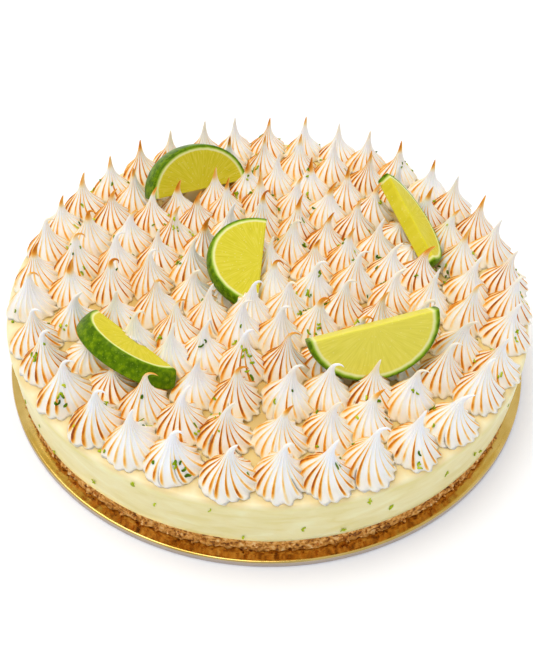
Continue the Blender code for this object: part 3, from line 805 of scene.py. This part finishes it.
def limeZest():
    # fine grated lime rind: thin moist shreds, bright to deep green
    material, tree, shader = newMaterial("limeZest")
    place = addNode(tree, "ShaderNodeTexCoord").outputs["Object"]
    shades = addNode(tree, "ShaderNodeTexNoise", {"Vector": place, "Scale": 1 / (5 * mm), "Detail": 1.0})
    colour = addNode(tree, "ShaderNodeValToRGB", {"Fac": shades.outputs["Fac"]})
    setRamp(colour, [(0.36, "446400"), (0.46, "6C8A00"), (0.54, "9CB004"), (0.66, "CCD430")])
    # the shreds in the cream's side lie under a skin of it
    under = addNode(tree, "ShaderNodeMapRange", {"Value": fromMiddle(tree, place), "From Min": 0.1190,
                                                 "From Max": 0.1195, "To Max": 0.70})
    colour = addNode(tree, "ShaderNodeMix", {0: under.outputs[0], 6: colour.outputs["Color"],
                                             7: toLinear("C0CE20")}, data_type="RGBA")
    tree.links.new(colour.outputs[2], shader.inputs["Base Color"])
    shader.inputs["Roughness"].default_value = 0.5
    shader.inputs["Specular IOR Level"].default_value = 0.1
    return material


def shredTemplate():
    # a unit bar along X, cut across so that it can bend
    bm = bmesh.new()
    bmesh.ops.create_cube(bm, size=1.0)
    long = [edge for edge in bm.edges if abs(edge.verts[0].co.x - edge.verts[1].co.x) > 0.5]
    bmesh.ops.subdivide_edges(bm, edges=long, cuts=4, use_grid_fill=True)
    mesh = bpy.data.meshes.new("shredTemplate")
    bm.to_mesh(mesh)
    bm.free()
    return mesh


def addShred(bm, template, place, length, width, curl):
    before = len(bm.verts)
    bm.from_mesh(template)
    bm.verts.ensure_lookup_table()
    for vert in bm.verts[before:]:
        along, across, lift = vert.co
        taper = 1.0 - 1.4 * along * along
        across *= width * taper
        bend = curl * along
        vert.co = ((length / curl - across) * math.sin(bend),
                   length / curl - (length / curl - across) * math.cos(bend),
                   lift * width * 0.5 * taper)
        vert.co = place @ vert.co


def makeZest(kisses, cream):
    rng = random.Random(zestValues["seed"])
    trees = [BVHTree.FromObject(piece, bpy.context.evaluated_depsgraph_get()) for piece in kisses + [cream]]
    bm = bmesh.new()
    template = shredTemplate()

    def drop(x, y):
        # what a shred lands on that falls here
        best = None
        for tree in trees:
            hit, normal, face, far = tree.ray_cast(Vector((x, y, 0.09)), Vector((0, 0, -1)))
            if hit and (best is None or hit.z > best[0].z):
                best = (hit, normal)
        return best

    def lay(hit, normal, slim=1.0):
        tip = normal.to_track_quat("Z", "Y").to_matrix().to_4x4()
        spin = Matrix.Rotation(rng.uniform(0, math.tau), 4, "Z")
        place = Matrix.Translation(hit + normal * 0.0002) @ tip @ spin
        length = rng.uniform(*zestValues["lengths"])
        width = slim * rng.uniform(*zestValues["widths"])
        bend = rng.choice((-1, 1)) * rng.uniform(*zestValues["bends"])
        addShred(bm, template, place, length, width, bend)

    count = 0
    while count < zestValues["onTop"]:
        reach = zestValues["reach"] * math.sqrt(rng.random())
        turn = rng.uniform(0, math.tau)
        x, y = reach * math.sin(turn), -reach * math.cos(turn)
        group = 1 if rng.random() < zestValues["alone"] else rng.randint(*zestValues["group"])
        for member in range(group):
            found = drop(x + rng.gauss(0, zestValues["spread"]), y + rng.gauss(0, zestValues["spread"]))
            if found and found[0].z < zestValues["highest"]:
                lay(*found)
                count += 1
    for number in range(zestValues["onSide"]):
        turn = math.tau * (number + rng.random()) / zestValues["onSide"]
        out = Vector((math.sin(turn), -math.cos(turn), 0.0))
        hit = out * (creamValues["radius"] - zestValues["sunk"])
        hit += Vector((0, 0, rng.uniform(*zestValues["inSide"])))
        for member in range(rng.randint(1, 3)):
            lay(hit + Vector((0, 0, rng.gauss(0, 0.0006))), out, zestValues["sideWidth"])
    bpy.data.meshes.remove(template)
    onTheFrame(meshObject("zestShreds", bm, limeZest()), "lime")
    print("zest:", count, "shreds on top")


# studio

cameraValues = {"place": (0.0, -0.2852, 0.3016), "down": 42.2, "roll": 1.2,     # degrees
                "lens": 44.92, "shiftX": -0.0033, "shiftY": -0.0925}
lightValues = {"world": 0.84, "sky": "FBFCFF", "skyFront": "DAE6FF",
               "keyPlace": (-0.40, 0.12, 1.56), "keySize": 1.1, "keyPower": 13.2, "keyTint": "FFF8EE",
               "floorSize": 12.0}


def makeStudio():
    scene = bpy.context.scene
    data = bpy.data.cameras.new("camera")
    camera = bpy.data.objects.new("camera", data)
    scene.collection.objects.link(camera)
    turn = Matrix.Rotation(math.radians(90.0 - cameraValues["down"]), 4, "X")
    roll = Matrix.Rotation(math.radians(cameraValues["roll"]), 4, "Z")
    camera.matrix_world = Matrix.Translation(cameraValues["place"]) @ turn @ roll
    data.lens = cameraValues["lens"]
    data.shift_x = cameraValues["shiftX"]
    data.shift_y = cameraValues["shiftY"]
    data.clip_start = 0.01
    scene.camera = camera

    world = bpy.data.worlds.new("studio")
    world.use_nodes = True
    tree = world.node_tree
    sky = tree.nodes["Background"]
    sky.inputs["Strength"].default_value = lightValues["world"]
    # white overhead and behind, cooler from the front
    way = addNode(tree, "ShaderNodeTexCoord").outputs["Generated"]
    split = addNode(tree, "ShaderNodeSeparateXYZ", {"Vector": way})
    front = addNode(tree, "ShaderNodeMapRange", {"Value": split.outputs["Y"], "From Min": -1.0,
                                                 "From Max": 0.2})
    tint = addNode(tree, "ShaderNodeValToRGB", {"Fac": front.outputs[0]})
    setRamp(tint, [(0.0, lightValues["skyFront"]), (1.0, lightValues["sky"])])
    tree.links.new(tint.outputs["Color"], sky.inputs["Color"])
    scene.world = world

    key = bpy.data.lights.new("keyLight", "AREA")
    key.size = lightValues["keySize"]
    key.energy = lightValues["keyPower"]
    key.color = toLinear(lightValues["keyTint"])[:3]
    lamp = bpy.data.objects.new("keyLight", key)
    scene.collection.objects.link(lamp)
    lamp.location = lightValues["keyPlace"]
    lamp.rotation_euler = (-Vector(lightValues["keyPlace"])).to_track_quat("-Z", "Y").to_euler()

    bm = bmesh.new()
    bmesh.ops.create_grid(bm, x_segments=8, y_segments=8, size=lightValues["floorSize"])
    bmesh.ops.translate(bm, verts=bm.verts, vec=(0, 0, -0.0001))
    material, tree, shader = newMaterial("paleFloor")
    shader.inputs["Base Color"].default_value = toLinear("FFFFFF")
    shader.inputs["Roughness"].default_value = 0.9
    floor = meshObject("floor", bm, material, smooth=False)

    scene.view_settings.view_transform = "Standard"
    scene.view_settings.look = "None"
    print("studio made")


makeStudio()
makeCard()
makeCrumb()
creamPiece = makeCream()
limeMaterial = limeFlesh()
for limeName, limeValue in limeValues.items():
    makeLime(limeName, limeValue, limeMaterial)
kissPieces = makeKisses()
makeZest(kissPieces, creamPiece)
